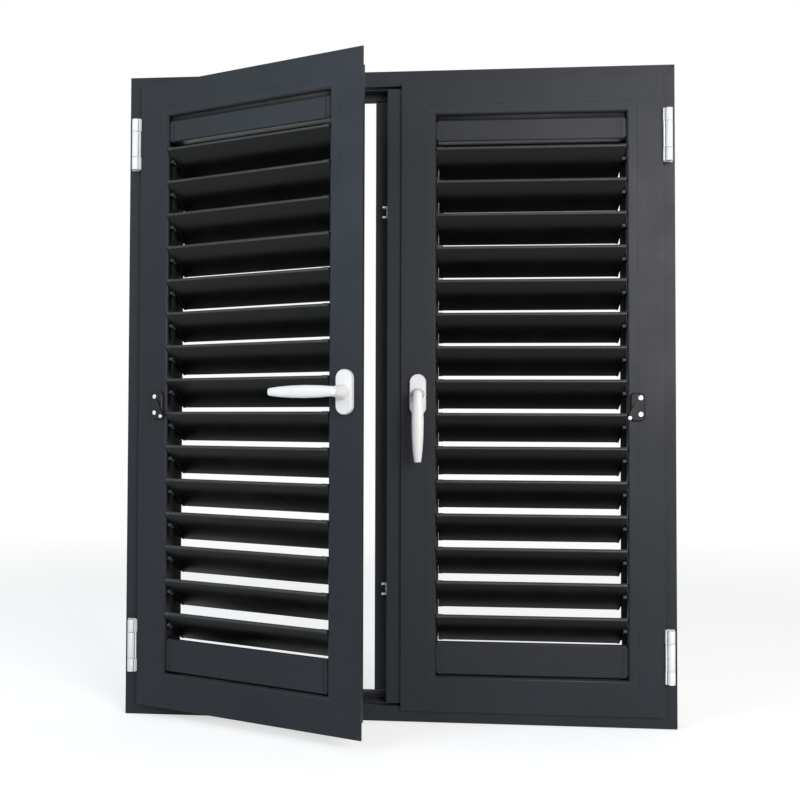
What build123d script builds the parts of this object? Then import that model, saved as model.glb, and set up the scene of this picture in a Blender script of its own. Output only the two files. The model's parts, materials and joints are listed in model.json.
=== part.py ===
from build123d import *
from math import cos, radians, sin
import os

os.makedirs("parts", exist_ok=True)

# Two-leaf louvred window of powder-coated aluminium, with its frame.
# Millimetres. X runs along the width, Y from the room outwards, Z up.
# The origin is the middle of the sill's underside, halfway through the frame's depth.
# Each leaf is drawn closed, on the right. The left one is its mirror image, swung open.

# Frame
FRAME_WIDTH = 1000.0
FRAME_HEIGHT = 1190.0
FRAME_DEPTH = 46.0
FRAME_FACE = 28.0
FRAME_WALL = 2.0
LIP_REACH = 18.0
LIP_THICKNESS = 8.0
HOOK_HEIGHT = 4.0
HOOK_THICKNESS = 2.0
FRONT_HOOK_DEPTH = 13.0
REAR_HOOK_DEPTH = 27.0

# Jamb fixing holes, drilled right through the hollow jamb
FIXING_HOLE_RADIUS = 4.0
FIXING_HOLE_SPACING = 400.0
FIXING_HOLE_COUNT = 3
FIXING_HOLE_DEPTH = 33.5

# Gasket in the lip
GASKET_WIDTH = 3.0
GASKET_FOOT = 1.5
GASKET_FROM_LIP_EDGE = 1.0
GASKET_CLEARANCE = 0.3

# Leaves
SIDE_REVEAL = 23.0
END_REVEAL = 22.0
LEAF_GAP = 20.0
LEAF_PROUD = 8.0
LEAF_BEHIND_FACE = 34.0
SASH_FACE = 63.5
OVERLAP_WIDTH = 18.0
OVERLAP_THICKNESS = 3.0
SASH_WALL = 2.0
BAND_WIDTH = 19.0
BAND_THICKNESS = 5.0
BAND_EDGE_RADIUS = 4.0
BAND_GROOVE = 0.4
REAR_FLANGE_REACH = 4.0
REAR_FLANGE_THICKNESS = 3.0
LEFT_LEAF_OPEN = 24.5

# Astragal on the right leaf's lock stile
ASTRAGAL_OVERHANG = 26.0
ASTRAGAL_LIP_OVERHANG = 49.0
ASTRAGAL_WALL = 2.0
ASTRAGAL_END_GAP = 1.0
KEEP_HEIGHT = 21.0
KEEP_REACH = 9.5
KEEP_DEPTH = 12.5
KEEP_WALL = 2.5
KEEP_FRONT_DEPTH = 14.0
KEEP_HEIGHTS = (236.5, 932.0)

# Slats
SLAT_COUNT = 15
SLAT_LAP = 6.4
SLAT_THICKNESS = 10.0
SLAT_NOSE_RADIUS = 4.0
SLAT_TAIL_RADIUS = 2.0
SLAT_TILT = 40.0
SLAT_PIVOT_DEPTH = 13.0
TOP_SLAT_FROM_FILLER = 37.3
BOTTOM_SLAT_FROM_FILLER = 22.4
SLAT_END_CLEARANCE = 0.7
SLAT_LOCK_END_INSET = 4.2
SLAT_LOCK_END_KNEE = 14.0
SLAT_HINGE_END_TAPER = 8.4
END_CAP_WIDTH = 12.0
END_CAP_PROUD = 0.6
NOSE_GROOVE_FROM_TIP = 7.0
NOSE_GROOVE_WIDTH = 1.2
NOSE_GROOVE_DEPTH = 0.8
PIVOT_PIN_RADIUS = 2.5
PIVOT_PIN_ENGAGEMENT = 8.0
PIN_CLEARANCE = 0.3

# Crank ear on each slat and the rod that joins them
CRANK_RADIUS = 11.0
CRANK_ANGLE = 5.0
CRANK_PIN_RADIUS = 2.2
EAR_RADIUS = 4.5
EAR_THICKNESS = 6.0
EAR_END_CLEARANCE = 1.0
ROD_WIDTH = 8.0
ROD_THICKNESS = 3.0
ROD_RECESS = 1.0
ROD_END = 6.0
ROD_TO_CARRIER = 1.5

# Strips in the stiles that the slats turn in
LOCK_CARRIER_RECESS = 1.5
CARRIER_END_GAP = 2.0

# Fixed fillers above and below the slats
FILLER_RECESS = 4.0
FILLER_THICKNESS = 9.0
FILLER_END_CLEARANCE = 2.5
FILLER_EDGE_RADIUS = 3.0
TOP_FILLER_DROP = 8.0
TOP_FILLER_HEIGHT = 40.0
BOTTOM_FILLER_RISE = 2.0
BOTTOM_FILLER_HEIGHT = 59.5
FILLER_LUG_LENGTH = 12.0
FILLER_LUG_MARGIN = 5.0
FILLER_CAP_WIDTH = 7.0
FILLER_JOINT_WIDTH = 1.2
FILLER_JOINT_DEPTH = 1.0
FILLER_SHELF_THICKNESS = 2.0
FILLER_SHELF_BACK_GAP = 0.5

# Hinges
HINGE_FROM_SIDE = 13.0
HINGE_PROUD = 13.0
HINGE_LENGTH = 95.0
HINGE_FROM_TOP = 130.0
HINGE_FROM_BOTTOM = 129.0
KNUCKLE_RADIUS = 6.5
MIDDLE_KNUCKLE = 47.0
KNUCKLE_GAP = 0.6
HINGE_PIN_RADIUS = 3.0
HINGE_PIN_CLEARANCE = 0.3
HINGE_WEB = 2.5
HINGE_STRIP_GAP = 0.5
HINGE_PLATE_THICKNESS = 3.0
HINGE_PLATE_REACH = 8.0
HINGE_TONGUE_REACH = 17.0
HINGE_SEAM_WIDTH = 1.2
HINGE_SEAM_DEPTH = 3.0

# Handles
HANDLE_FROM_EDGE = 30.0
HANDLE_HEIGHT = 592.5
ROSETTE_WIDTH = 30.0
ROSETTE_HEIGHT = 75.5
ROSETTE_THICKNESS = 10.5
ROSETTE_EDGE = 2.5
HANDLE_STEM_RADIUS = 8.4
HANDLE_COLLAR_RADIUS = 12.2
HANDLE_COLLAR_THICKNESS = 3.0
HANDLE_NECK_RADIUS = 8.5
HANDLE_GAP = 0.3
GRIP_WIDTH = 17.0
GRIP_THICKNESS = 12.0
GRIP_STAND_OFF = 50.0
GRIP_TIP_EDGE = 2.5
# The grip's swell and taper: distance from the spindle, width and thickness
GRIP_STATIONS = (
    (24.0, 20.2, 12.6),
    (50.0, 21.4, 13.0),
    (76.0, 20.4, 12.4),
    (98.0, 17.6, 11.2),
    (113.0, 14.4, 9.8),
    (121.0, 12.2, 8.6),
)

# Tilt lever beside the slats
DRIVEN_SLAT = 9
LEVER_ABOVE_SLAT = 41.4
LEVER_FROM_OPENING = 17.0
LEVER_HOUSING_WIDTH = 25.0
LEVER_HOUSING_HEIGHT = 50.0
LEVER_HOUSING_THICKNESS = 8.0
LEVER_HOUSING_EDGE = 2.0
LEVER_HOUSING_DROP = 3.5
LEVER_BOSS_RADIUS = 7.0
LEVER_PIN_RADIUS = 3.0
LEVER_PIN_LENGTH = 6.0
LEVER_GAP = 0.3
LEVER_THICKNESS = 4.0
LEVER_ARM_LENGTH = 28.0
LEVER_ARM_ANGLE = 34.0
LEVER_TIP_RADIUS = 3.0

# Places worked out from the sizes above
FACE_Y = -FRAME_DEPTH / 2
LIP_Y = FRAME_DEPTH / 2 - LIP_THICKNESS
LEAF_FRONT_Y = FACE_Y - LEAF_PROUD
LEAF_BACK_Y = FACE_Y + LEAF_BEHIND_FACE
BAND_BACK_Y = LEAF_FRONT_Y + BAND_THICKNESS
REAR_FLANGE_Y = LEAF_BACK_Y - REAR_FLANGE_THICKNESS
LOCK_EDGE_X = LEAF_GAP / 2
HINGE_EDGE_X = FRAME_WIDTH / 2 - SIDE_REVEAL
LEAF_BOTTOM = END_REVEAL
LEAF_TOP = FRAME_HEIGHT - END_REVEAL
LEAF_WIDTH = HINGE_EDGE_X - LOCK_EDGE_X
LEAF_HEIGHT = LEAF_TOP - LEAF_BOTTOM
LEAF_MIDDLE_X = (HINGE_EDGE_X + LOCK_EDGE_X) / 2
LEAF_MIDDLE_Z = (LEAF_TOP + LEAF_BOTTOM) / 2
OPENING_LEFT = LOCK_EDGE_X + SASH_FACE
OPENING_RIGHT = HINGE_EDGE_X - SASH_FACE
OPENING_BOTTOM = LEAF_BOTTOM + SASH_FACE
OPENING_TOP = LEAF_TOP - SASH_FACE
HINGE_X = FRAME_WIDTH / 2 - HINGE_FROM_SIDE
HINGE_Y = FACE_Y - HINGE_PROUD
HINGE_HEIGHTS = (HINGE_FROM_BOTTOM, FRAME_HEIGHT - HINGE_FROM_TOP)
PIVOT_Y = FACE_Y + SLAT_PIVOT_DEPTH
CRANK_Y = -CRANK_RADIUS * cos(radians(CRANK_ANGLE))
CRANK_Z = CRANK_RADIUS * sin(radians(CRANK_ANGLE))
ROD_FACE_X = OPENING_RIGHT + ROD_RECESS
HINGE_CARRIER_X = ROD_FACE_X + ROD_THICKNESS + ROD_TO_CARRIER
LOCK_CARRIER_X = OPENING_LEFT - LOCK_CARRIER_RECESS
CHANNEL_DEPTH = BAND_WIDTH
TOP_FILLER_TOP = OPENING_TOP - TOP_FILLER_DROP
TOP_FILLER_BOTTOM = TOP_FILLER_TOP - TOP_FILLER_HEIGHT
BOTTOM_FILLER_BOTTOM = OPENING_BOTTOM + BOTTOM_FILLER_RISE
BOTTOM_FILLER_TOP = BOTTOM_FILLER_BOTTOM + BOTTOM_FILLER_HEIGHT
TOP_SLAT_Z = TOP_FILLER_BOTTOM - TOP_SLAT_FROM_FILLER
BOTTOM_SLAT_Z = BOTTOM_FILLER_TOP + BOTTOM_SLAT_FROM_FILLER
SLAT_PITCH = (TOP_SLAT_Z - BOTTOM_SLAT_Z) / (SLAT_COUNT - 1)
SLAT_CHORD = SLAT_PITCH + SLAT_LAP
SLAT_HEIGHTS = [TOP_SLAT_Z - SLAT_PITCH * row for row in range(SLAT_COUNT)]
SPINDLE_X = LOCK_EDGE_X + HANDLE_FROM_EDGE
LEVER_X = OPENING_RIGHT + LEVER_FROM_OPENING
LEVER_HEIGHT = SLAT_HEIGHTS[DRIVEN_SLAT - 1] + LEVER_ABOVE_SLAT


def save(piece, name):
    piece.label = name
    export_step(piece, f"parts/{name}.step")


def on_leaf(piece, side):
    """A leaf's piece in its own leaf: as drawn on the right, mirrored and swung open on the left."""
    if side == "right":
        return piece
    hinge_axis = Axis((-HINGE_X, HINGE_Y, 0), (0, 0, 1))
    return mirror(piece, about=Plane.YZ).rotate(hinge_axis, -LEFT_LEAF_OPEN)


def mitred_bar(origin, inward, along, length, width, section):
    """One extruded bar with both ends cut at 45 degrees, its section drawn from its outer edge."""
    with BuildPart() as bar:
        with BuildSketch(Plane(origin=origin, x_dir=inward, z_dir=along)):
            add(section)
        extrude(amount=length / 2, both=True)
        with BuildSketch(Plane(origin=origin, x_dir=inward, z_dir=(0, 1, 0))):
            with BuildLine():
                Polyline(
                    (0, -length / 2),
                    (0, length / 2),
                    (width, length / 2 - width),
                    (width, width - length / 2),
                    close=True,
                )
            make_face()
        extrude(amount=FRAME_DEPTH * 2, both=True, mode=Mode.INTERSECT)
    return bar.part


def frame_section():
    """Hollow frame bar with its outer lip, two hardware hooks and the gasket's groove."""
    lip_edge = FRAME_FACE + LIP_REACH
    groove_far = lip_edge - GASKET_FROM_LIP_EDGE
    groove_near = groove_far - GASKET_WIDTH
    lip_front = FRAME_DEPTH - LIP_THICKNESS
    hook_top = FRAME_FACE + HOOK_HEIGHT
    with BuildSketch() as section:
        with BuildLine():
            Polyline(
                (0, 0),
                (FRAME_FACE, 0),
                (FRAME_FACE, FRONT_HOOK_DEPTH),
                (hook_top, FRONT_HOOK_DEPTH),
                (hook_top, FRONT_HOOK_DEPTH + HOOK_THICKNESS),
                (FRAME_FACE, FRONT_HOOK_DEPTH + HOOK_THICKNESS),
                (FRAME_FACE, REAR_HOOK_DEPTH),
                (hook_top, REAR_HOOK_DEPTH),
                (hook_top, REAR_HOOK_DEPTH + HOOK_THICKNESS),
                (FRAME_FACE, REAR_HOOK_DEPTH + HOOK_THICKNESS),
                (FRAME_FACE, lip_front),
                (groove_near, lip_front),
                (groove_near, lip_front + GASKET_FOOT),
                (groove_far, lip_front + GASKET_FOOT),
                (groove_far, lip_front),
                (lip_edge, lip_front),
                (lip_edge, FRAME_DEPTH),
                (0, FRAME_DEPTH),
                close=True,
            )
        make_face()
        with BuildLine():
            Polyline(
                (FRAME_WALL, FRAME_WALL),
                (FRAME_FACE - FRAME_WALL, FRAME_WALL),
                (FRAME_FACE - FRAME_WALL, FRAME_DEPTH - FRAME_WALL),
                (FRAME_WALL, FRAME_DEPTH - FRAME_WALL),
                close=True,
            )
        make_face(mode=Mode.SUBTRACT)
    return section.sketch


def frame_bar(origin, inward, along, length):
    width = FRAME_FACE + LIP_REACH
    return mitred_bar(origin, inward, along, length, width, frame_section())


def jamb(side):
    """An upright of the frame, with its row of fixing holes."""
    outward = 1 if side == "right" else -1
    middle = (outward * FRAME_WIDTH / 2, FACE_Y, FRAME_HEIGHT / 2)
    bar = frame_bar(middle, (-outward, 0, 0), (0, 0, -outward), FRAME_HEIGHT)
    drill = Plane(
        origin=(outward * FRAME_WIDTH / 2, FACE_Y + FIXING_HOLE_DEPTH, FRAME_HEIGHT / 2),
        x_dir=(0, 0, 1),
        z_dir=(outward, 0, 0),
    )
    with BuildPart() as upright:
        add(bar)
        with BuildSketch(drill):
            with GridLocations(FIXING_HOLE_SPACING, 0, FIXING_HOLE_COUNT, 1):
                Circle(FIXING_HOLE_RADIUS)
        extrude(amount=-FRAME_FACE, mode=Mode.SUBTRACT)
    return upright.part


def frame_gasket():
    """The closed ring of gasket in the lip, its foot in the groove."""
    outer_inset = FRAME_FACE + LIP_REACH - GASKET_FROM_LIP_EDGE - GASKET_WIDTH
    inner_inset = outer_inset + GASKET_WIDTH
    with BuildPart() as ring:
        with BuildSketch(Plane.XZ.offset(-LIP_Y - GASKET_FOOT)):
            with Locations((0, FRAME_HEIGHT / 2)):
                Rectangle(FRAME_WIDTH - 2 * outer_inset, FRAME_HEIGHT - 2 * outer_inset)
                Rectangle(
                    FRAME_WIDTH - 2 * inner_inset,
                    FRAME_HEIGHT - 2 * inner_inset,
                    mode=Mode.SUBTRACT,
                )
        extrude(amount=LIP_Y + GASKET_FOOT - LEAF_BACK_Y - GASKET_CLEARANCE)
    return ring.part


def sash_section():
    """Hollow sash bar: overlap flange, closed chamber, and the channel behind the front band."""
    front = -LEAF_PROUD
    back = LEAF_BEHIND_FACE
    band_line = SASH_FACE - BAND_WIDTH
    flange_back = front + OVERLAP_THICKNESS
    band_back = front + BAND_THICKNESS
    rear_flange = back - REAR_FLANGE_THICKNESS
    with BuildSketch() as section:
        with BuildLine():
            Polyline(
                (SASH_FACE - BAND_EDGE_RADIUS, front),
                (band_line + BAND_GROOVE / 2, front),
                (band_line, front + BAND_GROOVE),
                (band_line - BAND_GROOVE / 2, front),
                (0, front),
                (0, flange_back),
                (OVERLAP_WIDTH, flange_back),
                (OVERLAP_WIDTH, back),
                (SASH_FACE + REAR_FLANGE_REACH, back),
                (SASH_FACE + REAR_FLANGE_REACH, rear_flange),
                (band_line, rear_flange),
                (band_line, band_back),
                (SASH_FACE, band_back),
                (SASH_FACE, front + BAND_EDGE_RADIUS),
            )
            RadiusArc(
                (SASH_FACE, front + BAND_EDGE_RADIUS),
                (SASH_FACE - BAND_EDGE_RADIUS, front),
                BAND_EDGE_RADIUS,
            )
        make_face()
        chamber_left = OVERLAP_WIDTH + SASH_WALL
        chamber_right = band_line - SASH_WALL
        with BuildLine():
            Polyline(
                (chamber_left, front + OVERLAP_THICKNESS),
                (chamber_right, front + OVERLAP_THICKNESS),
                (chamber_right, back - SASH_WALL),
                (chamber_left, back - SASH_WALL),
                close=True,
            )
        make_face(mode=Mode.SUBTRACT)
    return section.sketch


def sash_bar(origin, inward, along, length):
    width = SASH_FACE + REAR_FLANGE_REACH
    return mitred_bar(origin, inward, along, length, width, sash_section())


def lock_stile():
    origin = (LOCK_EDGE_X, FACE_Y, LEAF_MIDDLE_Z)
    return sash_bar(origin, (1, 0, 0), (0, 0, 1), LEAF_HEIGHT)


def hinge_stile():
    origin = (HINGE_EDGE_X, FACE_Y, LEAF_MIDDLE_Z)
    return sash_bar(origin, (-1, 0, 0), (0, 0, -1), LEAF_HEIGHT)


def rails():
    """The top and the bottom rail of one leaf."""
    top = sash_bar((LEAF_MIDDLE_X, FACE_Y, LEAF_TOP), (0, 0, -1), (1, 0, 0), LEAF_WIDTH)
    bottom = sash_bar((LEAF_MIDDLE_X, FACE_Y, LEAF_BOTTOM), (0, 0, 1), (-1, 0, 0), LEAF_WIDTH)
    return Part() + [top, bottom]


def slat_outline(grown):
    """The slat's outline, its nose at negative X and its broad faces as two shallow arcs."""
    nose_x = -SLAT_CHORD / 2 + SLAT_NOSE_RADIUS
    tail_x = SLAT_CHORD / 2 - SLAT_TAIL_RADIUS
    nose = SLAT_NOSE_RADIUS + grown
    tail = SLAT_TAIL_RADIUS + grown
    half = SLAT_THICKNESS / 2 + grown
    with BuildSketch() as outline:
        with BuildLine():
            ThreePointArc((nose_x, nose), (0, half), (tail_x, tail))
            ThreePointArc((tail_x, tail), (tail_x + tail, 0), (tail_x, -tail))
            ThreePointArc((tail_x, -tail), (0, -half), (nose_x, -nose))
            ThreePointArc((nose_x, -nose), (nose_x - nose, 0), (nose_x, nose))
        make_face()
    return outline.sketch


def blade_section():
    """The extruded blade's section, with the fine groove behind its nose."""
    groove_x = -SLAT_CHORD / 2 + NOSE_GROOVE_FROM_TIP
    with BuildSketch() as section:
        add(slat_outline(0))
        with BuildLine():
            Polyline(
                (groove_x - NOSE_GROOVE_WIDTH / 2, SLAT_THICKNESS / 2),
                (groove_x + NOSE_GROOVE_WIDTH / 2, SLAT_THICKNESS / 2),
                (groove_x, SLAT_NOSE_RADIUS - NOSE_GROOVE_DEPTH),
                close=True,
            )
        make_face(mode=Mode.SUBTRACT)
    return section.sketch


def slat(height):
    """A blade with its end caps, the pins it pivots on and a crank ear at the hinge side."""
    tilt = radians(SLAT_TILT)
    blade_left = OPENING_LEFT + SLAT_END_CLEARANCE
    blade_right = OPENING_RIGHT - SLAT_END_CLEARANCE
    middle_x = (blade_left + blade_right) / 2
    chord_direction = (0, sin(tilt), -cos(tilt))
    blade_plane = Plane(
        origin=(middle_x, PIVOT_Y, height), x_dir=chord_direction, z_dir=(1, 0, 0)
    )
    plan_plane = Plane(
        origin=(middle_x, PIVOT_Y, height), x_dir=chord_direction, z_dir=(0, cos(tilt), sin(tilt))
    )
    half_length = (blade_right - blade_left) / 2
    nose_edge = -SLAT_CHORD / 2 - END_CAP_PROUD
    tail_edge = SLAT_CHORD / 2 + END_CAP_PROUD
    ear_face = OPENING_RIGHT - EAR_END_CLEARANCE
    end_plane = Plane(origin=(ear_face, PIVOT_Y, height), x_dir=(0, 1, 0), z_dir=(1, 0, 0))
    left_pin = LOCK_CARRIER_X - PIVOT_PIN_ENGAGEMENT
    right_pin = HINGE_CARRIER_X + PIVOT_PIN_ENGAGEMENT
    pin_plane = Plane(origin=(left_pin, PIVOT_Y, height), x_dir=(0, 1, 0), z_dir=(1, 0, 0))
    crank_pin_length = ROD_FACE_X + ROD_THICKNESS - ear_face + PIN_CLEARANCE
    with BuildPart() as blade:
        with BuildSketch(blade_plane):
            add(blade_section())
        extrude(amount=half_length, both=True)
        for cap_plane, inward in (
            (blade_plane.offset(half_length), -1),
            (blade_plane.offset(-half_length), 1),
        ):
            with BuildSketch(cap_plane):
                add(slat_outline(END_CAP_PROUD))
            extrude(amount=inward * END_CAP_WIDTH)
        with BuildSketch(plan_plane):
            with BuildLine():
                Polyline(
                    (nose_edge, -half_length),
                    (nose_edge, half_length),
                    (SLAT_LOCK_END_KNEE, half_length - SLAT_LOCK_END_INSET),
                    (tail_edge, half_length - SLAT_LOCK_END_INSET),
                    (tail_edge, SLAT_HINGE_END_TAPER - half_length),
                    close=True,
                )
            make_face()
        extrude(amount=SLAT_THICKNESS, both=True, mode=Mode.INTERSECT)
        with BuildSketch(end_plane):
            Circle(SLAT_THICKNESS / 2)
            with Locations((CRANK_Y, CRANK_Z)):
                Circle(EAR_RADIUS)
            make_hull()
        extrude(amount=-EAR_THICKNESS)
        with BuildSketch(end_plane):
            with Locations((CRANK_Y, CRANK_Z)):
                Circle(CRANK_PIN_RADIUS)
        extrude(amount=crank_pin_length)
        with BuildSketch(pin_plane):
            Circle(PIVOT_PIN_RADIUS)
        extrude(amount=right_pin - left_pin)
    return blade.part


def carriers():
    """The two strips that hold the slats' pins: one in each stile's channel."""
    bottom = BOTTOM_FILLER_TOP + CARRIER_END_GAP
    top = TOP_FILLER_BOTTOM - CARRIER_END_GAP
    lock_back = OPENING_LEFT - CHANNEL_DEPTH
    hinge_back = OPENING_RIGHT + CHANNEL_DEPTH
    strips = []
    for face_x, back_x in ((LOCK_CARRIER_X, lock_back), (HINGE_CARRIER_X, hinge_back)):
        with BuildPart() as strip:
            with BuildSketch(Plane.XY.offset(bottom)):
                with Locations(((face_x + back_x) / 2, (BAND_BACK_Y + REAR_FLANGE_Y) / 2)):
                    Rectangle(abs(face_x - back_x), REAR_FLANGE_Y - BAND_BACK_Y)
            extrude(amount=top - bottom)
            with BuildSketch(Plane.YZ.offset(face_x)):
                with Locations(*[(PIVOT_Y, height) for height in SLAT_HEIGHTS]):
                    Circle(PIVOT_PIN_RADIUS + PIN_CLEARANCE)
            extrude(amount=back_x - face_x, mode=Mode.SUBTRACT)
        strips.append(strip.part)
    return Part() + strips


def control_rod():
    """The flat rod on the crank pins, which keeps all the slats at one angle."""
    rod_y = PIVOT_Y + CRANK_Y
    top = SLAT_HEIGHTS[0] + CRANK_Z + ROD_END
    bottom = SLAT_HEIGHTS[-1] + CRANK_Z - ROD_END
    with BuildPart() as rod:
        with BuildSketch(Plane.YZ.offset(ROD_FACE_X)):
            with Locations((rod_y, (top + bottom) / 2)):
                Rectangle(ROD_WIDTH, top - bottom)
            with Locations(*[(rod_y, height + CRANK_Z) for height in SLAT_HEIGHTS]):
                Circle(CRANK_PIN_RADIUS + PIN_CLEARANCE, mode=Mode.SUBTRACT)
        extrude(amount=ROD_THICKNESS)
    return rod.part


def filler(bottom, height):
    """A fixed panel with rounded long edges, jointed ends, and lugs that sit in the channels."""
    left = OPENING_LEFT + FILLER_END_CLEARANCE
    right = OPENING_RIGHT - FILLER_END_CLEARANCE
    front = LEAF_FRONT_Y + FILLER_RECESS
    section_plane = Plane(origin=(left, front, bottom), x_dir=(0, 1, 0), z_dir=(1, 0, 0))
    lug_height = height - 2 * FILLER_LUG_MARGIN
    lug_front = BAND_BACK_Y
    lug_depth = front + FILLER_THICKNESS - lug_front
    lug_middle = (0, lug_front + lug_depth / 2, bottom + height / 2)
    with BuildPart() as panel:
        with BuildSketch(section_plane):
            with Locations((FILLER_THICKNESS / 2, height / 2)):
                RectangleRounded(FILLER_THICKNESS, height, FILLER_EDGE_RADIUS)
        extrude(amount=right - left)
        with BuildSketch(Plane.XZ.offset(-front)):
            with Locations(
                (left + FILLER_CAP_WIDTH, bottom + height / 2),
                (right - FILLER_CAP_WIDTH, bottom + height / 2),
            ):
                Rectangle(FILLER_JOINT_WIDTH, height)
        extrude(amount=-FILLER_JOINT_DEPTH, mode=Mode.SUBTRACT)
        for x, direction in ((left, -1), (right, 1)):
            lug_plane = Plane(
                origin=(x, lug_middle[1], lug_middle[2]), x_dir=(0, 1, 0), z_dir=(direction, 0, 0)
            )
            with BuildSketch(lug_plane):
                Rectangle(lug_depth, lug_height)
            extrude(amount=FILLER_LUG_LENGTH)
    return panel.part


def top_filler():
    """The upper filler, with a shelf along its lower edge that closes the gap to the first slat."""
    left = OPENING_LEFT + FILLER_END_CLEARANCE
    right = OPENING_RIGHT - FILLER_END_CLEARANCE
    shelf_front = LEAF_FRONT_Y + FILLER_RECESS + FILLER_THICKNESS / 2
    shelf_back = REAR_FLANGE_Y - FILLER_SHELF_BACK_GAP
    with BuildPart() as panel:
        add(filler(TOP_FILLER_BOTTOM, TOP_FILLER_HEIGHT))
        with BuildSketch(Plane.XY.offset(TOP_FILLER_BOTTOM)):
            with Locations(((left + right) / 2, (shelf_front + shelf_back) / 2)):
                Rectangle(right - left, shelf_back - shelf_front)
        extrude(amount=FILLER_SHELF_THICKNESS)
    return panel.part


def fillers():
    return Part() + [top_filler(), filler(BOTTOM_FILLER_BOTTOM, BOTTOM_FILLER_HEIGHT)]


def astragal():
    """The hollow bar on the right leaf that the left leaf closes on."""
    left = LOCK_EDGE_X - ASTRAGAL_OVERHANG
    lip_left = LOCK_EDGE_X - ASTRAGAL_LIP_OVERHANG
    right = LOCK_EDGE_X + OVERLAP_WIDTH
    end_inset = FRAME_FACE + HOOK_HEIGHT + ASTRAGAL_END_GAP
    lip_end_inset = FRAME_FACE + LIP_REACH + ASTRAGAL_END_GAP
    back = FRAME_DEPTH / 2
    with BuildPart() as bar:
        with BuildSketch(Plane.XY.offset(end_inset)):
            with BuildLine():
                Polyline(
                    (left, FACE_Y),
                    (right, FACE_Y),
                    (right, back),
                    (lip_left, back),
                    (lip_left, LIP_Y),
                    (left, LIP_Y),
                    (left, FACE_Y + REAR_HOOK_DEPTH + HOOK_THICKNESS),
                    (left - HOOK_THICKNESS, FACE_Y + REAR_HOOK_DEPTH + HOOK_THICKNESS),
                    (left - HOOK_THICKNESS, FACE_Y + REAR_HOOK_DEPTH),
                    (left, FACE_Y + REAR_HOOK_DEPTH),
                    close=True,
                )
            make_face()
            with BuildLine():
                Polyline(
                    (left + ASTRAGAL_WALL, FACE_Y + ASTRAGAL_WALL),
                    (right - ASTRAGAL_WALL, FACE_Y + ASTRAGAL_WALL),
                    (right - ASTRAGAL_WALL, back - ASTRAGAL_WALL),
                    (left + ASTRAGAL_WALL, back - ASTRAGAL_WALL),
                    close=True,
                )
            make_face(mode=Mode.SUBTRACT)
        extrude(amount=FRAME_HEIGHT - 2 * end_inset)
        notch = lip_end_inset - end_inset
        for level in (end_inset, FRAME_HEIGHT - end_inset - notch):
            with BuildSketch(Plane.XY.offset(level)):
                with Locations(((lip_left + right) / 2, (LEAF_BACK_Y + back) / 2)):
                    Rectangle(right - lip_left, back - LEAF_BACK_Y)
            extrude(amount=notch, mode=Mode.SUBTRACT)
    return bar.part


def keeps():
    """Two C-shaped keeps on the astragal, which the left leaf's bolts draw in to."""
    left = LOCK_EDGE_X - ASTRAGAL_OVERHANG
    pieces = []
    for height in KEEP_HEIGHTS:
        with BuildPart() as keep:
            with BuildSketch(Plane.XZ.offset(-FACE_Y - KEEP_FRONT_DEPTH)):
                with Locations((left - KEEP_REACH / 2, height)):
                    Rectangle(KEEP_REACH, KEEP_HEIGHT)
                with Locations((left - KEEP_WALL - KEEP_REACH / 2, height)):
                    Rectangle(KEEP_REACH, KEEP_HEIGHT - 2 * KEEP_WALL, mode=Mode.SUBTRACT)
            extrude(amount=-KEEP_DEPTH)
        pieces.append(keep.part)
    return Part() + pieces


def knuckle_spans(height):
    """The lower, middle and upper knuckle of one hinge, each as its bottom and top."""
    half_middle = MIDDLE_KNUCKLE / 2
    return (
        (height - HINGE_LENGTH / 2, height - half_middle - KNUCKLE_GAP),
        (height - half_middle, height + half_middle),
        (height + half_middle + KNUCKLE_GAP, height + HINGE_LENGTH / 2),
    )


def frame_hinge_leaf(height):
    """Middle knuckle with its pin, the plate on the frame's face and the strip beside the leaf."""
    lower, middle, upper = knuckle_spans(height)
    plate_back = FACE_Y
    plate_front = FACE_Y - HINGE_PLATE_THICKNESS
    strip_left = HINGE_EDGE_X + HINGE_STRIP_GAP
    plate_left = strip_left + HINGE_WEB + HINGE_STRIP_GAP
    plate_right = HINGE_X + HINGE_PLATE_REACH
    plate_middle = ((plate_left + plate_right) / 2, (plate_front + plate_back) / 2)
    with BuildPart() as leaf:
        with BuildSketch(Plane.XY.offset(middle[0])):
            with Locations((HINGE_X, HINGE_Y)):
                Circle(KNUCKLE_RADIUS)
            with BuildLine():
                Polyline(
                    (strip_left, HINGE_Y - HINGE_WEB / 2),
                    (HINGE_X, HINGE_Y - HINGE_WEB / 2),
                    (HINGE_X, HINGE_Y + HINGE_WEB),
                    (plate_left, HINGE_Y + HINGE_WEB),
                    (plate_left, plate_back),
                    (strip_left, plate_back),
                    close=True,
                )
            make_face()
            with Locations((strip_left + HINGE_WEB, HINGE_Y - HINGE_WEB / 2)):
                Rectangle(HINGE_SEAM_WIDTH, HINGE_SEAM_DEPTH, mode=Mode.SUBTRACT)
        extrude(amount=middle[1] - middle[0])
        with BuildSketch(Plane.XY.offset(lower[0])):
            with Locations(plate_middle):
                Rectangle(plate_right - plate_left, HINGE_PLATE_THICKNESS)
        extrude(amount=upper[1] - lower[0])
        with BuildSketch(Plane.XY.offset(lower[0])):
            with Locations((HINGE_X, HINGE_Y)):
                Circle(HINGE_PIN_RADIUS)
        extrude(amount=upper[1] - lower[0])
    return leaf.part


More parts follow.
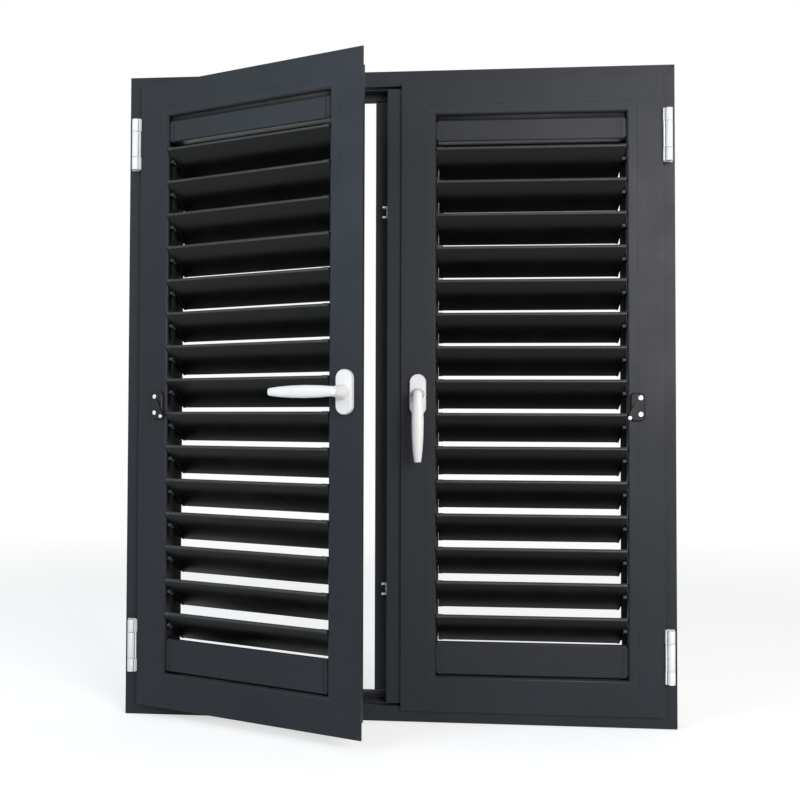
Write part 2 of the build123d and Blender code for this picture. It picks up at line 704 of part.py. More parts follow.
def sash_hinge_leaf(height):
    """The two outer knuckles, their strips and the tongue behind the leaf's overlap flange."""
    lower, _, upper = knuckle_spans(height)
    strip_left = HINGE_EDGE_X
    strip_right = strip_left + HINGE_WEB + HINGE_STRIP_GAP
    tongue_front = LEAF_FRONT_Y + OVERLAP_THICKNESS
    tongue_back = tongue_front + HINGE_WEB
    tongue_left = HINGE_EDGE_X - HINGE_TONGUE_REACH
    bore = HINGE_PIN_RADIUS + HINGE_PIN_CLEARANCE
    with BuildPart() as leaf:
        for bottom, top in (lower, upper):
            with BuildSketch(Plane.XY.offset(bottom)):
                with Locations((HINGE_X, HINGE_Y)):
                    Circle(KNUCKLE_RADIUS)
                with BuildLine():
                    Polyline(
                        (strip_left, HINGE_Y - HINGE_WEB / 2),
                        (HINGE_X, HINGE_Y - HINGE_WEB / 2),
                        (HINGE_X, HINGE_Y + HINGE_WEB),
                        (strip_right, HINGE_Y + HINGE_WEB),
                        (strip_right, tongue_back),
                        (strip_left, tongue_back),
                        close=True,
                    )
                make_face()
                with Locations((strip_left + HINGE_WEB, HINGE_Y - HINGE_WEB / 2)):
                    Rectangle(HINGE_SEAM_WIDTH, HINGE_SEAM_DEPTH, mode=Mode.SUBTRACT)
                with Locations((HINGE_X, HINGE_Y)):
                    Circle(bore, mode=Mode.SUBTRACT)
            extrude(amount=top - bottom)
        with BuildSketch(Plane.XY.offset(lower[0])):
            with Locations(((tongue_left + strip_left) / 2, (tongue_front + tongue_back) / 2)):
                Rectangle(strip_left - tongue_left, HINGE_WEB)
        extrude(amount=upper[1] - lower[0])
    return leaf.part


def rosette():
    """The handle's rosette, a rounded plate with a bore for the handle's neck."""
    plate_plane = Plane.XZ.offset(-LEAF_FRONT_Y)
    with BuildPart() as plate:
        with BuildSketch(plate_plane):
            with Locations((SPINDLE_X, HANDLE_HEIGHT)):
                SlotOverall(ROSETTE_HEIGHT, ROSETTE_WIDTH, rotation=90)
        extrude(amount=ROSETTE_THICKNESS)
        front_edges = plate.faces().sort_by(Axis.Y)[0].edges()
        chamfer(front_edges, ROSETTE_EDGE, ROSETTE_EDGE / 2)
        with BuildSketch(plate_plane):
            with Locations((SPINDLE_X, HANDLE_HEIGHT)):
                Circle(HANDLE_STEM_RADIUS + HANDLE_GAP)
        extrude(amount=ROSETTE_THICKNESS, mode=Mode.SUBTRACT)
    return plate.part


def handle(turn):
    """Neck turned about the spindle and a tapered grip, drawn pointing down and then turned."""
    collar_back = ROSETTE_THICKNESS + HANDLE_GAP
    collar_front = collar_back + HANDLE_COLLAR_THICKNESS
    half_grip = GRIP_THICKNESS / 2
    spindle = Axis((SPINDLE_X, 0, HANDLE_HEIGHT), (0, 1, 0))
    turning_plane = Plane(
        origin=(SPINDLE_X, LEAF_FRONT_Y, HANDLE_HEIGHT), x_dir=(1, 0, 0), z_dir=(0, 0, 1)
    )
    with BuildPart() as lever:
        for drop, width, thickness in ((0.0, GRIP_WIDTH, GRIP_THICKNESS), *GRIP_STATIONS):
            with BuildSketch(Plane.XY.offset(HANDLE_HEIGHT - drop)):
                with Locations((SPINDLE_X, LEAF_FRONT_Y - GRIP_STAND_OFF)):
                    Ellipse(width / 2, thickness / 2)
        loft(ruled=True)
        fillet(lever.edges().group_by(Axis.Z)[0], GRIP_TIP_EDGE)
        with BuildSketch(turning_plane):
            with BuildLine():
                Polyline(
                    (0, -HANDLE_GAP),
                    (HANDLE_STEM_RADIUS, -HANDLE_GAP),
                    (HANDLE_STEM_RADIUS, -collar_back),
                    (HANDLE_COLLAR_RADIUS, -collar_back),
                    (HANDLE_COLLAR_RADIUS, -collar_front),
                    (HANDLE_NECK_RADIUS, -GRIP_STAND_OFF + half_grip),
                    (GRIP_WIDTH / 2, -GRIP_STAND_OFF),
                )
                Line((0, -GRIP_STAND_OFF - half_grip), (0, -HANDLE_GAP))
                EllipticalCenterArc(
                    (0, -GRIP_STAND_OFF), GRIP_WIDTH / 2, half_grip, start_angle=-90, arc_size=90
                )
            make_face()
        revolve(axis=spindle)
    return lever.part.rotate(spindle, turn)


def lever_housing():
    """The tilt lever's housing on the hinge stile, with the boss that the lever turns on."""
    with BuildPart() as housing:
        with BuildSketch(Plane.XZ.offset(-LEAF_FRONT_Y)):
            with Locations((LEVER_X, LEVER_HEIGHT - LEVER_HOUSING_DROP)):
                RectangleRounded(LEVER_HOUSING_WIDTH, LEVER_HOUSING_HEIGHT, LEVER_BOSS_RADIUS)
        extrude(amount=LEVER_HOUSING_THICKNESS)
        front_edges = housing.faces().sort_by(Axis.Y)[0].edges()
        chamfer(front_edges, LEVER_HOUSING_EDGE)
        with BuildSketch(Plane.XZ.offset(-LEAF_FRONT_Y)):
            with Locations((LEVER_X, LEVER_HEIGHT)):
                Circle(LEVER_PIN_RADIUS + LEVER_GAP)
        extrude(amount=LEVER_HOUSING_THICKNESS, mode=Mode.SUBTRACT)
    return housing.part


def tilt_lever():
    """The lever: a round boss, a tapered arm and a knob at its tip, with its pin in the housing."""
    lever_y = LEAF_FRONT_Y - LEVER_HOUSING_THICKNESS - LEVER_GAP
    reach = radians(LEVER_ARM_ANGLE)
    tip = (-LEVER_ARM_LENGTH * sin(reach), -LEVER_ARM_LENGTH * cos(reach))
    with BuildPart() as lever:
        with BuildSketch(Plane.XZ.offset(-lever_y)):
            with Locations((LEVER_X, LEVER_HEIGHT)):
                Circle(LEVER_BOSS_RADIUS)
            with Locations((LEVER_X + tip[0], LEVER_HEIGHT + tip[1])):
                Circle(LEVER_TIP_RADIUS)
            make_hull()
        extrude(amount=LEVER_THICKNESS)
        with BuildSketch(Plane.XZ.offset(-lever_y)):
            with Locations((LEVER_X, LEVER_HEIGHT)):
                Circle(LEVER_PIN_RADIUS)
        extrude(amount=-LEVER_PIN_LENGTH)
    return lever.part


def build_frame():
    save(jamb("left"), "frame_jamb_left")
    save(jamb("right"), "frame_jamb_right")
    head = frame_bar((0, FACE_Y, FRAME_HEIGHT), (0, 0, -1), (1, 0, 0), FRAME_WIDTH)
    save(head, "frame_head")
    sill = frame_bar((0, FACE_Y, 0), (0, 0, 1), (-1, 0, 0), FRAME_WIDTH)
    save(sill, "frame_sill")
    save(frame_gasket(), "frame_gasket")
    right_leaves = [frame_hinge_leaf(height) for height in HINGE_HEIGHTS]
    left_leaves = [mirror(leaf, about=Plane.YZ) for leaf in right_leaves]
    save(Part() + right_leaves + left_leaves, "frame_hinge_leaves")


def build_leaf(side):
    handle_turn = 0 if side == "right" else -90
    save(on_leaf(lock_stile(), side), f"sash_{side}_lock_stile")
    save(on_leaf(hinge_stile(), side), f"sash_{side}_hinge_stile")
    save(on_leaf(rails(), side), f"sash_{side}_rails")
    save(on_leaf(fillers(), side), f"sash_{side}_fillers")
    save(on_leaf(carriers(), side), f"sash_{side}_slat_carriers")
    hinge_leaves = Part() + [sash_hinge_leaf(height) for height in HINGE_HEIGHTS]
    save(on_leaf(hinge_leaves, side), f"sash_{side}_hinge_leaves")
    save(on_leaf(rosette(), side), f"handle_{side}_rosette")
    save(on_leaf(handle(handle_turn), side), f"handle_{side}")
    save(on_leaf(lever_housing(), side), f"tilt_lever_{side}_housing")
    save(on_leaf(tilt_lever(), side), f"tilt_lever_{side}")
    save(on_leaf(control_rod(), side), f"control_rod_{side}")
    for row, height in enumerate(SLAT_HEIGHTS, start=1):
        save(on_leaf(slat(height), side), f"slat_{side}_{row:02d}")


build_frame()
build_leaf("right")
build_leaf("left")
save(astragal(), "astragal")
save(keeps(), "astragal_keeps")
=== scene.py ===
import json
import math

import bmesh
import bpy
from mathutils import Matrix, Vector


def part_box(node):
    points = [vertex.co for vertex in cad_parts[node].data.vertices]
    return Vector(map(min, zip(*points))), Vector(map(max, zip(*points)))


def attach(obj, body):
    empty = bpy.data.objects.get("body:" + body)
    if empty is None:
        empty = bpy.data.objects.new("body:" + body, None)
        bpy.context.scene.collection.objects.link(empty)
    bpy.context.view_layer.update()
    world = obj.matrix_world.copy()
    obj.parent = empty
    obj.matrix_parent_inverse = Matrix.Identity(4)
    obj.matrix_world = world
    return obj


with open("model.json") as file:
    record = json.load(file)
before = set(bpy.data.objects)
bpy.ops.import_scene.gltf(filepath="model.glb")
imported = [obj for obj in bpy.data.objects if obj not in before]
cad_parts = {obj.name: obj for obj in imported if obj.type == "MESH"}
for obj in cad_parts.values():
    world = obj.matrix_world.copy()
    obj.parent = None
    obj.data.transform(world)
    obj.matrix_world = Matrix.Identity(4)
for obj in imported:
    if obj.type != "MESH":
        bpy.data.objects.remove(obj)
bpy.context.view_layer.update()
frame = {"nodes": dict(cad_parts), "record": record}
nodes = frame["nodes"]

# Metres and degrees, in the CAD model's frame: X along the width, Y from the room outwards, Z up.

# Camera, fitted to the outlines of the frame and both leaves in the photograph. Its axis meets the
# picture left of the middle, as it does in a cropped picture. The sensor is in millimetres.
PICTURE = 800
CAMERA_PLACE = (0.0454, -2.0140, 0.5425)
CAMERA_YAW = -5.302
CAMERA_PITCH = 1.588
CAMERA_ROLL = -0.248
FOCAL_PIXELS = 1085.8
AXIS_PIXEL = (320.0, 391.9)
SENSOR_WIDTH = 36.0

# Places on the closed right leaf, screws and knob as (X, Z), and how far the left leaf stands open
HINGE_X = 0.487
HINGE_Y = -0.036
LEFT_LEAF_OPEN = 24.5
HOUSING_FRONT_Y = -0.039
HOUSING_SCREWS = ((0.4352, 0.5878), (0.4352, 0.5584))
LEVER_FRONT_Y = -0.0433
LEVER_KNOB = (0.4148, 0.5518)

# Profiles of the turned parts as (radius, height), from the seat up towards the room. The screw is
# countersunk, so that the tilt lever passes over it.
SCREW_PROFILE = (
    (0.00400, -0.00080),
    (0.00400, 0.00008),
    (0.00380, 0.00016),
    (0.00352, 0.00020),
    (0.00104, 0.00020),
    (0.00048, 0.0),
)
KNOB_PROFILE = (
    (0.002880, -0.00040),
    (0.002880, 0.00125),
    (0.003600, 0.00200),
    (0.003600, 0.00400),
    (0.003168, 0.00475),
    (0.002160, 0.00500),
)
ROUND_STEPS = 40

# Rubber seals of the upper fillers: the Y of a seal's middle, the heights of its foot and tip, and
# the X of its ends. One hangs from the shelf towards the first slat, one stands up into the rail.
SHELF_SEAL = (0.0055, 1.0567, 1.0519, (0.0775, 0.4095))
RAIL_SEAL = (-0.0215, 1.0962, 1.1120, (0.0750, 0.4120))

# Rubber lips on the edges of the stiles' rear flanges, which narrow the light past the slats' ends:
# the X of a lip's foot, in the flange, and of its tip, and the Y of every lip's middle
LOCK_LIP = (0.0772, 0.0782)
HINGE_LIP = (0.4098, 0.4080)
LIP_Y = 0.0095

LIP_WIDTH = 0.0024
LIP_STEPS = 10

# Sharp edges of the CAD nodes: how wide they are rounded in each slot, and what counts as sharp
EDGE_WIDTHS = {"frame_paint": 0.0007, "hardware_white": 0.0006, "lever_plastic": 0.0006}
EDGE_SEGMENTS = 2
SHARP_ANGLE = 35.0
WELD_DISTANCE = 0.00001

# Colours, linear
SLATE = (0.0180, 0.0205, 0.0250)
SLATE_RUBBED = (0.085, 0.088, 0.094)
# The slats: the slate coat darkened near to black as painted shade, its rubbed edges in that
# painted shade too, and a paler painted highlight for noses and upper faces
SLATE_IN_PAINTED_SHADE = (0.0020, 0.0020, 0.0021)
SLATE_RUBBED_IN_PAINTED_SHADE = (0.020, 0.020, 0.021)
SLAT_PAINTED_HIGHLIGHT = (0.052, 0.054, 0.059)
HARDWARE_WHITE = (0.81, 0.81, 0.805)
HARDWARE_RUBBED = (0.66, 0.66, 0.65)
PALE_ZINC = (0.88, 0.88, 0.87)
PALE_ZINC_RUBBED = (0.70, 0.70, 0.70)
SCREW_ZINC = (0.72, 0.72, 0.73)
ANODISED = (0.020, 0.020, 0.021)
RUBBER = (0.012, 0.012, 0.012)
LEVER_PLASTIC = (0.012, 0.0125, 0.014)
CARRIER_PLASTIC = (0.008, 0.008, 0.009)
PURE_WHITE = (1.0, 1.0, 1.0)

# Wear and painted shade: the reach of wear from an edge and of painted shade into a seam, and how
# dark the painted shade is
WEAR_REACH = 0.0012
SEAM_SHADE_REACH = 0.0025
SEAM_SHADE_FACTOR = 0.15

# Ranges over which a finish changes: of a noise, of how well the rounded and the flat normal agree,
# of how open the surroundings are (painted shade), and of how far a face looks up (painted
# highlight)
NOISE_RANGE = (0.3, 0.7)
EDGE_RANGE = (0.86, 0.995)
SEAM_RANGE = (0.35, 0.75)
HIGHLIGHT_FACING_RANGE = (-0.5, 0.05)

# How a noise darkens and lightens a colour, as (place in the noise, factor)
COAT_TONES = ((0.34, 0.88), (0.5, 1.0), (0.68, 1.13))
RUBBER_TONES = ((0.3, 0.8), (0.7, 1.3))
PLASTIC_TONES = ((0.3, 0.9), (0.7, 1.12))
METAL_TONES = ((0.3, 0.9), (0.7, 1.06))

# Scale of the noise in drawn metal along X, Y and Z: long upright lines, or the same every way
LINES_UPRIGHT = (1.0, 1.0, 0.02)
LINES_EVEN = (1.0, 1.0, 1.0)

# Sockets of a mix node for colours, whose names are those of its other kinds too
MIX_FIRST = 6
MIX_SECOND = 7
MIX_RESULT = 2

# Floor: its size, how far it lies below the window, its colours as (place in the noise, colour),
# how much it is lifted where it shows, and the distances over which it turns white
FLOOR_SIZE = 24.0
FLOOR_DROP = 0.0005
FLOOR_COLOURS = ((0.3, (0.69, 0.69, 0.685)), (0.7, (0.71, 0.71, 0.71)))
FLOOR_ROUGHNESS = 0.8
FLOOR_LIFT = 0.56
FLOOR_FADE = (1.6, 3.4)

# Light: the world's soft share, and the lamps as (name, place, size, watts, colour)
WORLD_TINT = (0.96, 0.98, 1.0)
WORLD_STRENGTH = 0.40
LAMPS_AIM = (0.0, 0.0, 0.6)
LAMPS = (
    ("cool_side", (-2.4, -2.6, 1.9), (1.8, 1.8), 40.0, (0.66, 0.87, 1.0)),
    ("key", (1.5, -3.1, 1.4), (1.5, 1.5), 84.0, (1.0, 0.95, 0.94)),
)


# Camera


def make_camera():
    """The photograph's camera, from its angles and the pixel that its axis meets."""
    yaw, pitch, roll = (math.radians(a) for a in (CAMERA_YAW, CAMERA_PITCH, CAMERA_ROLL))
    forward = Vector(
        (math.sin(yaw) * math.cos(pitch), math.cos(yaw) * math.cos(pitch), math.sin(pitch))
    )
    level = Vector((math.cos(yaw), -math.sin(yaw), 0.0))
    down = forward.cross(level)
    right = math.cos(roll) * level + math.sin(roll) * down
    up = math.sin(roll) * level - math.cos(roll) * down
    data = bpy.data.cameras.new("camera")
    data.sensor_width = SENSOR_WIDTH
    data.lens = FOCAL_PIXELS * SENSOR_WIDTH / PICTURE
    data.shift_x = (PICTURE / 2 - AXIS_PIXEL[0]) / PICTURE
    data.shift_y = (AXIS_PIXEL[1] - PICTURE / 2) / PICTURE
    camera = bpy.data.objects.new("camera", data)
    turn = Matrix((right, up, -forward)).transposed().to_4x4()
    camera.matrix_world = Matrix.Translation(CAMERA_PLACE) @ turn
    bpy.context.scene.collection.objects.link(camera)
    bpy.context.scene.camera = camera


# Materials


def shade(colour, factor):
    return tuple(channel * factor for channel in colour)


class Shader:
    """A node material under construction: its tree, its main shader and short helpers."""

    def __init__(self, name):
        self.material = bpy.data.materials.new(name)
        self.material.use_nodes = True
        self.tree = self.material.node_tree
        self.surface = self.tree.nodes["Principled BSDF"]
        coordinates = self.tree.nodes.new("ShaderNodeTexCoord")
        self.place = coordinates.outputs["Object"]
        self.facing = coordinates.outputs["Normal"]

    def node(self, kind, **settings):
        made = self.tree.nodes.new(kind)
        for key, value in settings.items():
            setattr(made, key, value)
        return made

    def link(self, source, target):
        self.tree.links.new(source, target)

    def stretched(self, scale):
        """The place on the object, with its lengths scaled along each axis."""
        mapping = self.node("ShaderNodeMapping")
        mapping.inputs["Scale"].default_value = scale
        self.link(self.place, mapping.inputs["Vector"])
        return mapping.outputs["Vector"]

    def noise(self, scale, detail=2.0, roughness=0.5, vector=None):
        """A noise over the places on the object, or over another vector."""
        made = self.node("ShaderNodeTexNoise")
        made.inputs["Scale"].default_value = scale
        made.inputs["Detail"].default_value = detail
        made.inputs["Roughness"].default_value = roughness
        self.link(self.place if vector is None else vector, made.inputs["Vector"])
        return made.outputs["Fac"]

    def spread(self, value, low, high, over=NOISE_RANGE):
        """Takes a value that runs over a range to the numbers from low to high."""
        made = self.node("ShaderNodeMapRange")
        made.inputs["From Min"].default_value, made.inputs["From Max"].default_value = over
        made.inputs["To Min"].default_value = low
        made.inputs["To Max"].default_value = high
        self.link(value, made.inputs["Value"])
        return made.outputs["Result"]

    def ramp(self, value, stops):
        """Takes a value to a colour, by two or more (place, colour) stops."""
        made = self.node("ShaderNodeValToRGB")
        elements = made.color_ramp.elements
        for element, (place, colour) in zip(elements, (stops[0], stops[-1])):
            element.position = place
            element.color = (*colour, 1.0)
        for place, colour in stops[1:-1]:
            elements.new(place).color = (*colour, 1.0)
        self.link(value, made.inputs["Fac"])
        return made.outputs["Color"]

    def mottled(self, value, colour, tones):
        """A colour that a noise darkens and lightens."""
        return self.ramp(value, [(place, shade(colour, factor)) for place, factor in tones])

    def edge(self):
        """One along the solid's edges and nothing on its faces."""
        rounded = self.node("ShaderNodeBevel", samples=4)
        rounded.inputs["Radius"].default_value = WEAR_REACH
        flat = self.node("ShaderNodeNewGeometry")
        agree = self.node("ShaderNodeVectorMath", operation="DOT_PRODUCT")
        self.link(rounded.outputs["Normal"], agree.inputs[0])
        self.link(flat.outputs["Normal"], agree.inputs[1])
        return self.spread(agree.outputs["Value"], 1.0, 0.0, over=EDGE_RANGE)

    def painted_seam_shade(self):
        """One down in the solid's own seams and grooves, for painted shade, and nothing on its open
        faces.
        """
        open_sky = self.node("ShaderNodeAmbientOcclusion", samples=8, only_local=True)
        open_sky.inputs["Distance"].default_value = SEAM_SHADE_REACH
        return self.spread(open_sky.outputs["AO"], 1.0, 0.0, over=SEAM_RANGE)

    def painted_highlight_mask(self):
        """One on noses and upper faces as the part stands at rest, for a painted highlight, and
        nothing underneath.
        """
        axes = self.node("ShaderNodeSeparateXYZ")
        self.link(self.facing, axes.inputs[0])
        return self.spread(axes.outputs["Z"], 0.0, 1.0, over=HIGHLIGHT_FACING_RANGE)

    def times(self, first, second):
        made = self.node("ShaderNodeMath", operation="MULTIPLY")
        self.link(first, made.inputs[0])
        self.link(second, made.inputs[1])
        return made.outputs["Value"]

    def tint(self, colour, other, share):
        """A colour, turned into another by a share that varies over the surface."""
        made = self.node("ShaderNodeMix", data_type="RGBA")
        self.link(share, made.inputs["Factor"])
        self.link(colour, made.inputs[MIX_FIRST])
        made.inputs[MIX_SECOND].default_value = (*other, 1.0)
        return made.outputs[MIX_RESULT]

    def bump(self, height, strength, distance, under=None):
        """A normal that a height tilts, on top of another one if there is one under it."""
        made = self.node("ShaderNodeBump")
        made.inputs["Strength"].default_value = strength
        made.inputs["Distance"].default_value = distance
        self.link(height, made.inputs["Height"])
        if under is not None:
            self.link(under, made.inputs["Normal"])
        return made.outputs["Normal"]

    def finish(self, tone, roughness, normal, gloss=0.5, metallic=0.0):
        """Links what varies over the surface, sets what is the same all over, and is done."""
        self.link(tone, self.surface.inputs["Base Color"])
        self.link(roughness, self.surface.inputs["Roughness"])
        self.link(normal, self.surface.inputs["Normal"])
        self.surface.inputs["Specular IOR Level"].default_value = gloss
        self.surface.inputs["Metallic"].default_value = metallic
        return self.material


def powder_coat(name, colour, rubbed, gloss, roughness, paler_tone=None, seams=True):
    """Satin powder coat: fine orange peel, faint blotches, edges that use has rubbed, and, where
    wanted, a painted highlight on noses and upper faces and painted shade in the seams."""
    coat = Shader(name)
    blotches = coat.noise(scale=3.2, detail=5.0, roughness=0.62)
    tone = coat.mottled(blotches, colour, COAT_TONES)
    scuffs = coat.spread(coat.noise(scale=45.0, detail=4.0), low=0.1, high=0.6)
    tone = coat.tint(tone, rubbed, coat.times(coat.edge(), scuffs))
    # Painted highlight: a paler colour on noses and upper faces, patchy over the surface
    if paler_tone is not None:
        highlight_patches = coat.spread(coat.noise(scale=24.0, detail=5.0), low=0.7, high=1.0)
        tone = coat.tint(tone, paler_tone, coat.times(coat.painted_highlight_mask(), highlight_patches))
    # Painted shade: the colour darkened down in seams and grooves, where shade falls
    if seams:
        tone = coat.tint(tone, shade(colour, SEAM_SHADE_FACTOR), coat.painted_seam_shade())
    smudges = coat.noise(scale=11.0, detail=6.0, roughness=0.7)
    polish = coat.spread(smudges, low=roughness - 0.05, high=roughness + 0.06)
    peel = coat.bump(coat.noise(scale=900.0), strength=0.10, distance=0.00025)
    waves = coat.noise(scale=38.0, detail=1.0)
    normal = coat.bump(waves, strength=0.05, distance=0.0006, under=peel)
    return coat.finish(tone, polish, normal, gloss=gloss)


def rubber(name, colour):
    """Matt rubber with a fine grain."""
    seal = Shader(name)
    tone = seal.mottled(seal.noise(scale=60.0, detail=4.0), colour, RUBBER_TONES)
    polish = seal.spread(seal.noise(scale=25.0), low=0.62, high=0.8)
    grain = seal.bump(seal.noise(scale=1400.0), strength=0.2, distance=0.0002)
    return seal.finish(tone, polish, grain)


def moulded_plastic(name, colour, roughness):
    """Moulded plastic with a fine spark-eroded grain."""
    plastic = Shader(name)
    tone = plastic.mottled(plastic.noise(scale=30.0, detail=3.0), colour, PLASTIC_TONES)
    polish = plastic.spread(plastic.noise(scale=80.0), low=roughness - 0.05, high=roughness + 0.07)
    grain = plastic.bump(plastic.noise(scale=2200.0), strength=0.25, distance=0.00015)
    return plastic.finish(tone, polish, grain, gloss=0.22)


def drawn_metal(name, colour, roughness, stretch):
    """Plain metal with fine lines along the direction it was drawn or turned in."""
    metal = Shader(name)
    lines = metal.noise(scale=700.0, detail=3.0, vector=metal.stretched(stretch))
    tone = metal.mottled(metal.noise(scale=14.0, detail=4.0), colour, METAL_TONES)
    polish = metal.spread(lines, low=roughness - 0.08, high=roughness + 0.1)
    grain = metal.bump(lines, strength=0.15, distance=0.0002)
    return metal.finish(tone, polish, grain, metallic=1.0)


materials = {
    "frame_paint": powder_coat(
        "slate_powder_coat", SLATE, SLATE_RUBBED, gloss=0.18, roughness=0.40
    ),
    # Slats: the slate coat in painted shade, with a painted highlight on noses and upper faces
    "slat_paint": powder_coat(
        "slate_coat_painted_shade_highlight", SLATE_IN_PAINTED_SHADE, SLATE_RUBBED_IN_PAINTED_SHADE, gloss=0.20, roughness=0.30, paler_tone=SLAT_PAINTED_HIGHLIGHT
    ),
    "hardware_white": powder_coat(
        "white_powder_coat", HARDWARE_WHITE, HARDWARE_RUBBED, gloss=0.5, roughness=0.36
    ),
    "gasket_rubber": rubber("black_rubber", RUBBER),
    "lever_plastic": moulded_plastic("slate_plastic", LEVER_PLASTIC, roughness=0.45),
    "carrier_plastic": moulded_plastic("black_plastic", CARRIER_PLASTIC, roughness=0.5),
    "rod_metal": drawn_metal("black_anodised", ANODISED, roughness=0.40, stretch=LINES_UPRIGHT),
    "keep_metal": powder_coat(
        "pale_zinc", PALE_ZINC, PALE_ZINC_RUBBED, gloss=0.6, roughness=0.38, seams=False
    ),
    "screw_metal": drawn_metal("zinc_screw", SCREW_ZINC, roughness=0.32, stretch=LINES_EVEN),
}


def dress_cad_nodes():
    """Gives each CAD node its finish, and softens the sharp edges of what shows."""
    for part in frame["record"]["subparts"]:
        shown = nodes[part["node"]]
        slot = part["material_slot"]
        shown.data.materials.clear()
        shown.data.materials.append(materials[slot])
        width = EDGE_WIDTHS.get(slot)
        if width is not None:
            soften_edges(shown, width)


def soften_edges(shown, width):
    """Joins the triangles at their shared corners, then rounds every edge that is sharp."""
    weld = shown.modifiers.new("weld", "WELD")
    weld.merge_threshold = WELD_DISTANCE
    bevel = shown.modifiers.new("bevel", "BEVEL")
    bevel.width = width
    bevel.segments = EDGE_SEGMENTS
    bevel.limit_method = "ANGLE"
    bevel.angle_limit = math.radians(SHARP_ANGLE)
    bevel.use_clamp_overlap = True
    bevel.harden_normals = True


# Small parts that the CAD model leaves to the scene


def on_leaf(point, side):
    """A point of the closed right leaf, taken to the leaf of that side as it stands at rest."""
    x, y, z = point
    if side == "right":
        return Vector(point)
    turn = math.radians(LEFT_LEAF_OPEN)
    along, out = HINGE_X - x, y - HINGE_Y
    return Vector(
        (
            -HINGE_X + along * math.cos(turn) + out * math.sin(turn),
            HINGE_Y - along * math.sin(turn) + out * math.cos(turn),
            z,
        )
    )


def leaf_turn(side):
    """The rotation at rest of what is drawn facing the room on the leaf of that side."""
    if side == "right":
        return Matrix.Identity(4)
    return Matrix.Rotation(-math.radians(LEFT_LEAF_OPEN), 4, "Z")


def finish_mesh(mesh, name, material, body):
    """Turns a mesh into a named piece that rides on a body."""
    bmesh.ops.recalc_face_normals(mesh, faces=mesh.faces)
    data = bpy.data.meshes.new(name)
    mesh.to_mesh(data)
    mesh.free()
    data.materials.append(material)
    for face in data.polygons:
        face.use_smooth = True
    piece = bpy.data.objects.new(name, data)
    bpy.context.scene.collection.objects.link(piece)
    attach(piece, body)


def turned(profile, point, side):
    """A turned form that stands on a point of the leaf and faces the room."""
    mesh = bmesh.new()
    rings = []
    for radius, height in profile:
        ring = []
        for step in range(ROUND_STEPS):
            angle = 2 * math.pi * step / ROUND_STEPS
            corner = (radius * math.cos(angle), -height, radius * math.sin(angle))
            ring.append(mesh.verts.new(corner))
        rings.append(ring)
    for lower, upper in zip(rings, rings[1:]):
        for step in range(ROUND_STEPS):
            after = (step + 1) % ROUND_STEPS
            mesh.faces.new((lower[step], lower[after], upper[after], upper[step]))
    mesh.faces.new(rings[-1])
    mesh.faces.new(rings[0][::-1])
    placing = Matrix.Translation(on_leaf(point, side)) @ leaf_turn(side)
    bmesh.ops.transform(mesh, matrix=placing, verts=mesh.verts)
    return mesh


def housing_screw(side, number, x, z):
    """A countersunk screw in the tilt lever's housing."""
    mesh = turned(SCREW_PROFILE, (x, HOUSING_FRONT_Y, z), side)
    name = f"tilt_lever_{side}_screw_{number}"
    finish_mesh(mesh, name, materials["screw_metal"], f"sash_{side}")


def lever_knob(side):
    """The small turned knob that the tilt lever is moved by."""
    x, z = LEVER_KNOB
    mesh = turned(KNOB_PROFILE, (x, LEVER_FRONT_Y, z), side)
    name = f"tilt_lever_{side}_knob"
    finish_mesh(mesh, name, materials["screw_metal"], f"tilt_lever_{side}")


def lip_outline(foot, tip, bulge):
    """A flat lip as (across, along) pairs, from its foot to its tip, whose rounding is as deep as
    its bulge."""
    half = LIP_WIDTH / 2
    rounding = math.copysign(bulge, tip - foot)
    outline = [(-half, foot)]
    for step in range(LIP_STEPS + 1):
        angle = math.pi * step / LIP_STEPS
        outline.append((-half * math.cos(angle), tip - rounding * (1 - math.sin(angle))))
    outline.append((half, foot))
    return outline


def lip(side, name, start, end):
    """A solid between two like outlines on the closed right leaf, taken to the leaf of a side."""
    mesh = bmesh.new()
    first, last = ([mesh.verts.new(on_leaf(p, side)) for p in points] for points in (start, end))
    for corner in range(len(start)):
        after = (corner + 1) % len(start)
        mesh.faces.new((first[corner], last[corner], last[after], first[after]))
    mesh.faces.new(first)
    mesh.faces.new(last[::-1])
    finish_mesh(mesh, f"{name}_{side}", materials["gasket_rubber"], f"sash_{side}")


def filler_seal(side, name, seal):
    """A lip of rubber that runs along the leaf, above or below its upper filler."""
    middle, foot, tip, ends_x = seal
    outline = lip_outline(foot, tip, bulge=LIP_WIDTH / 2)
    start, end = ([(x, middle + y, z) for y, z in outline] for x in ends_x)
    lip(side, name, start, end)


def flange_lip(side, name, foot, tip):
    """A lip of rubber up the edge of a stile's rear flange, as high as the slat carriers."""
    lowest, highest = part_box(f"sash_{side}_slat_carriers")
    outline = lip_outline(foot, tip, bulge=abs(tip - foot) / 2)
    start, end = ([(x, LIP_Y + y, z) for y, x in outline] for z in (lowest[2], highest[2]))
    lip(side, name, start, end)


# Stage and light


def seen_rays(tree):
    """One for the rays that show a surface: to the camera, in a reflection or through glass."""
    paths = tree.nodes.new("ShaderNodeLightPath")
    shown = paths.outputs["Is Camera Ray"]
    for kind in ("Is Glossy Ray", "Is Transmission Ray"):
        either = tree.nodes.new("ShaderNodeMath")
        either.operation = "MAXIMUM"
        tree.links.new(shown, either.inputs[0])
        tree.links.new(paths.outputs[kind], either.inputs[1])
        shown = either.outputs[0]
    return shown


def glow(tree, kind, colour, strength):
    """A shader that shines evenly, of the kind for a surface or for the world."""
    made = tree.nodes.new(kind)
    made.inputs["Color"].default_value = (*colour, 1.0)
    made.inputs["Strength"].default_value = strength
    return made.outputs[0]


def mixed(tree, share, first, second):
    """The first shader, turned into the second by a share."""
    made = tree.nodes.new("ShaderNodeMixShader")
    for source, target in zip((share, first, second), made.inputs):
        tree.links.new(source, target)
    return made.outputs[0]


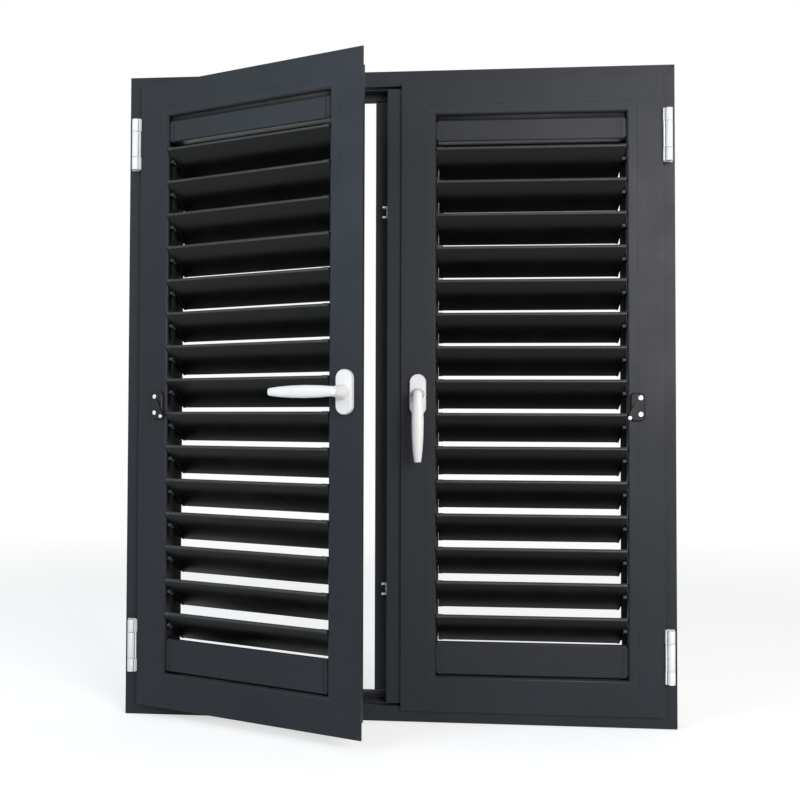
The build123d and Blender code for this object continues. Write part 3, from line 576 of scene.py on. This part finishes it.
def make_floor():
    """A pale floor, lifted to white where it shows, which keeps the window's shadow."""
    bpy.ops.mesh.primitive_plane_add(size=FLOOR_SIZE, location=(0.0, 0.0, -FLOOR_DROP))
    floor = bpy.context.object
    floor.name = "floor"
    paper = Shader("pale_floor")
    tree = paper.tree
    grain = paper.ramp(paper.noise(scale=6.0, detail=3.0), FLOOR_COLOURS)
    paper.link(grain, paper.surface.inputs["Base Color"])
    paper.surface.inputs["Roughness"].default_value = FLOOR_ROUGHNESS
    paper.surface.inputs["Specular IOR Level"].default_value = 0.0
    plain = paper.surface.outputs[0]
    lifted = paper.node("ShaderNodeAddShader")
    paper.link(plain, lifted.inputs[0])
    paper.link(glow(tree, "ShaderNodeEmission", PURE_WHITE, FLOOR_LIFT), lifted.inputs[1])
    white = glow(tree, "ShaderNodeEmission", PURE_WHITE, 1.0)
    distance = paper.node("ShaderNodeVectorMath", operation="LENGTH")
    paper.link(paper.place, distance.inputs[0])
    far = paper.spread(distance.outputs["Value"], 0.0, 1.0, over=FLOOR_FADE)
    paler_tone = mixed(tree, far, lifted.outputs[0], white)
    shown = mixed(tree, seen_rays(tree), plain, paler_tone)
    paper.link(shown, tree.nodes["Material Output"].inputs["Surface"])
    floor.data.materials.append(paper.material)


def make_world():
    """White to the eye and in reflections, and a plain soft light on everything else."""
    world = bpy.data.worlds.new("studio")
    world.use_nodes = True
    bpy.context.scene.world = world
    tree = world.node_tree
    tree.nodes.clear()
    seen = glow(tree, "ShaderNodeBackground", PURE_WHITE, 1.0)
    lighting = glow(tree, "ShaderNodeBackground", WORLD_TINT, WORLD_STRENGTH)
    output = tree.nodes.new("ShaderNodeOutputWorld")
    tree.links.new(mixed(tree, seen_rays(tree), lighting, seen), output.inputs["Surface"])


def soft_box(name, place, size, watts, colour):
    """A soft rectangular lamp that aims at the middle of the window."""
    data = bpy.data.lights.new(name, "AREA")
    data.shape = "RECTANGLE"
    data.size, data.size_y = size
    data.energy = watts
    data.color = colour
    lamp = bpy.data.objects.new(name, data)
    lamp.location = place
    direction = Vector(LAMPS_AIM) - Vector(place)
    lamp.rotation_euler = direction.to_track_quat("-Z", "Y").to_euler()
    bpy.context.scene.collection.objects.link(lamp)


make_camera()
dress_cad_nodes()
for side in ("right", "left"):
    for number, (x, z) in enumerate(HOUSING_SCREWS, start=1):
        housing_screw(side, number, x, z)
    lever_knob(side)
    filler_seal(side, "shelf_seal", SHELF_SEAL)
    filler_seal(side, "rail_seal", RAIL_SEAL)
    flange_lip(side, "lock_lip", *LOCK_LIP)
    flange_lip(side, "hinge_lip", *HINGE_LIP)
make_floor()
make_world()
for lamp in LAMPS:
    soft_box(*lamp)

bpy.context.scene.view_settings.view_transform = "Standard"
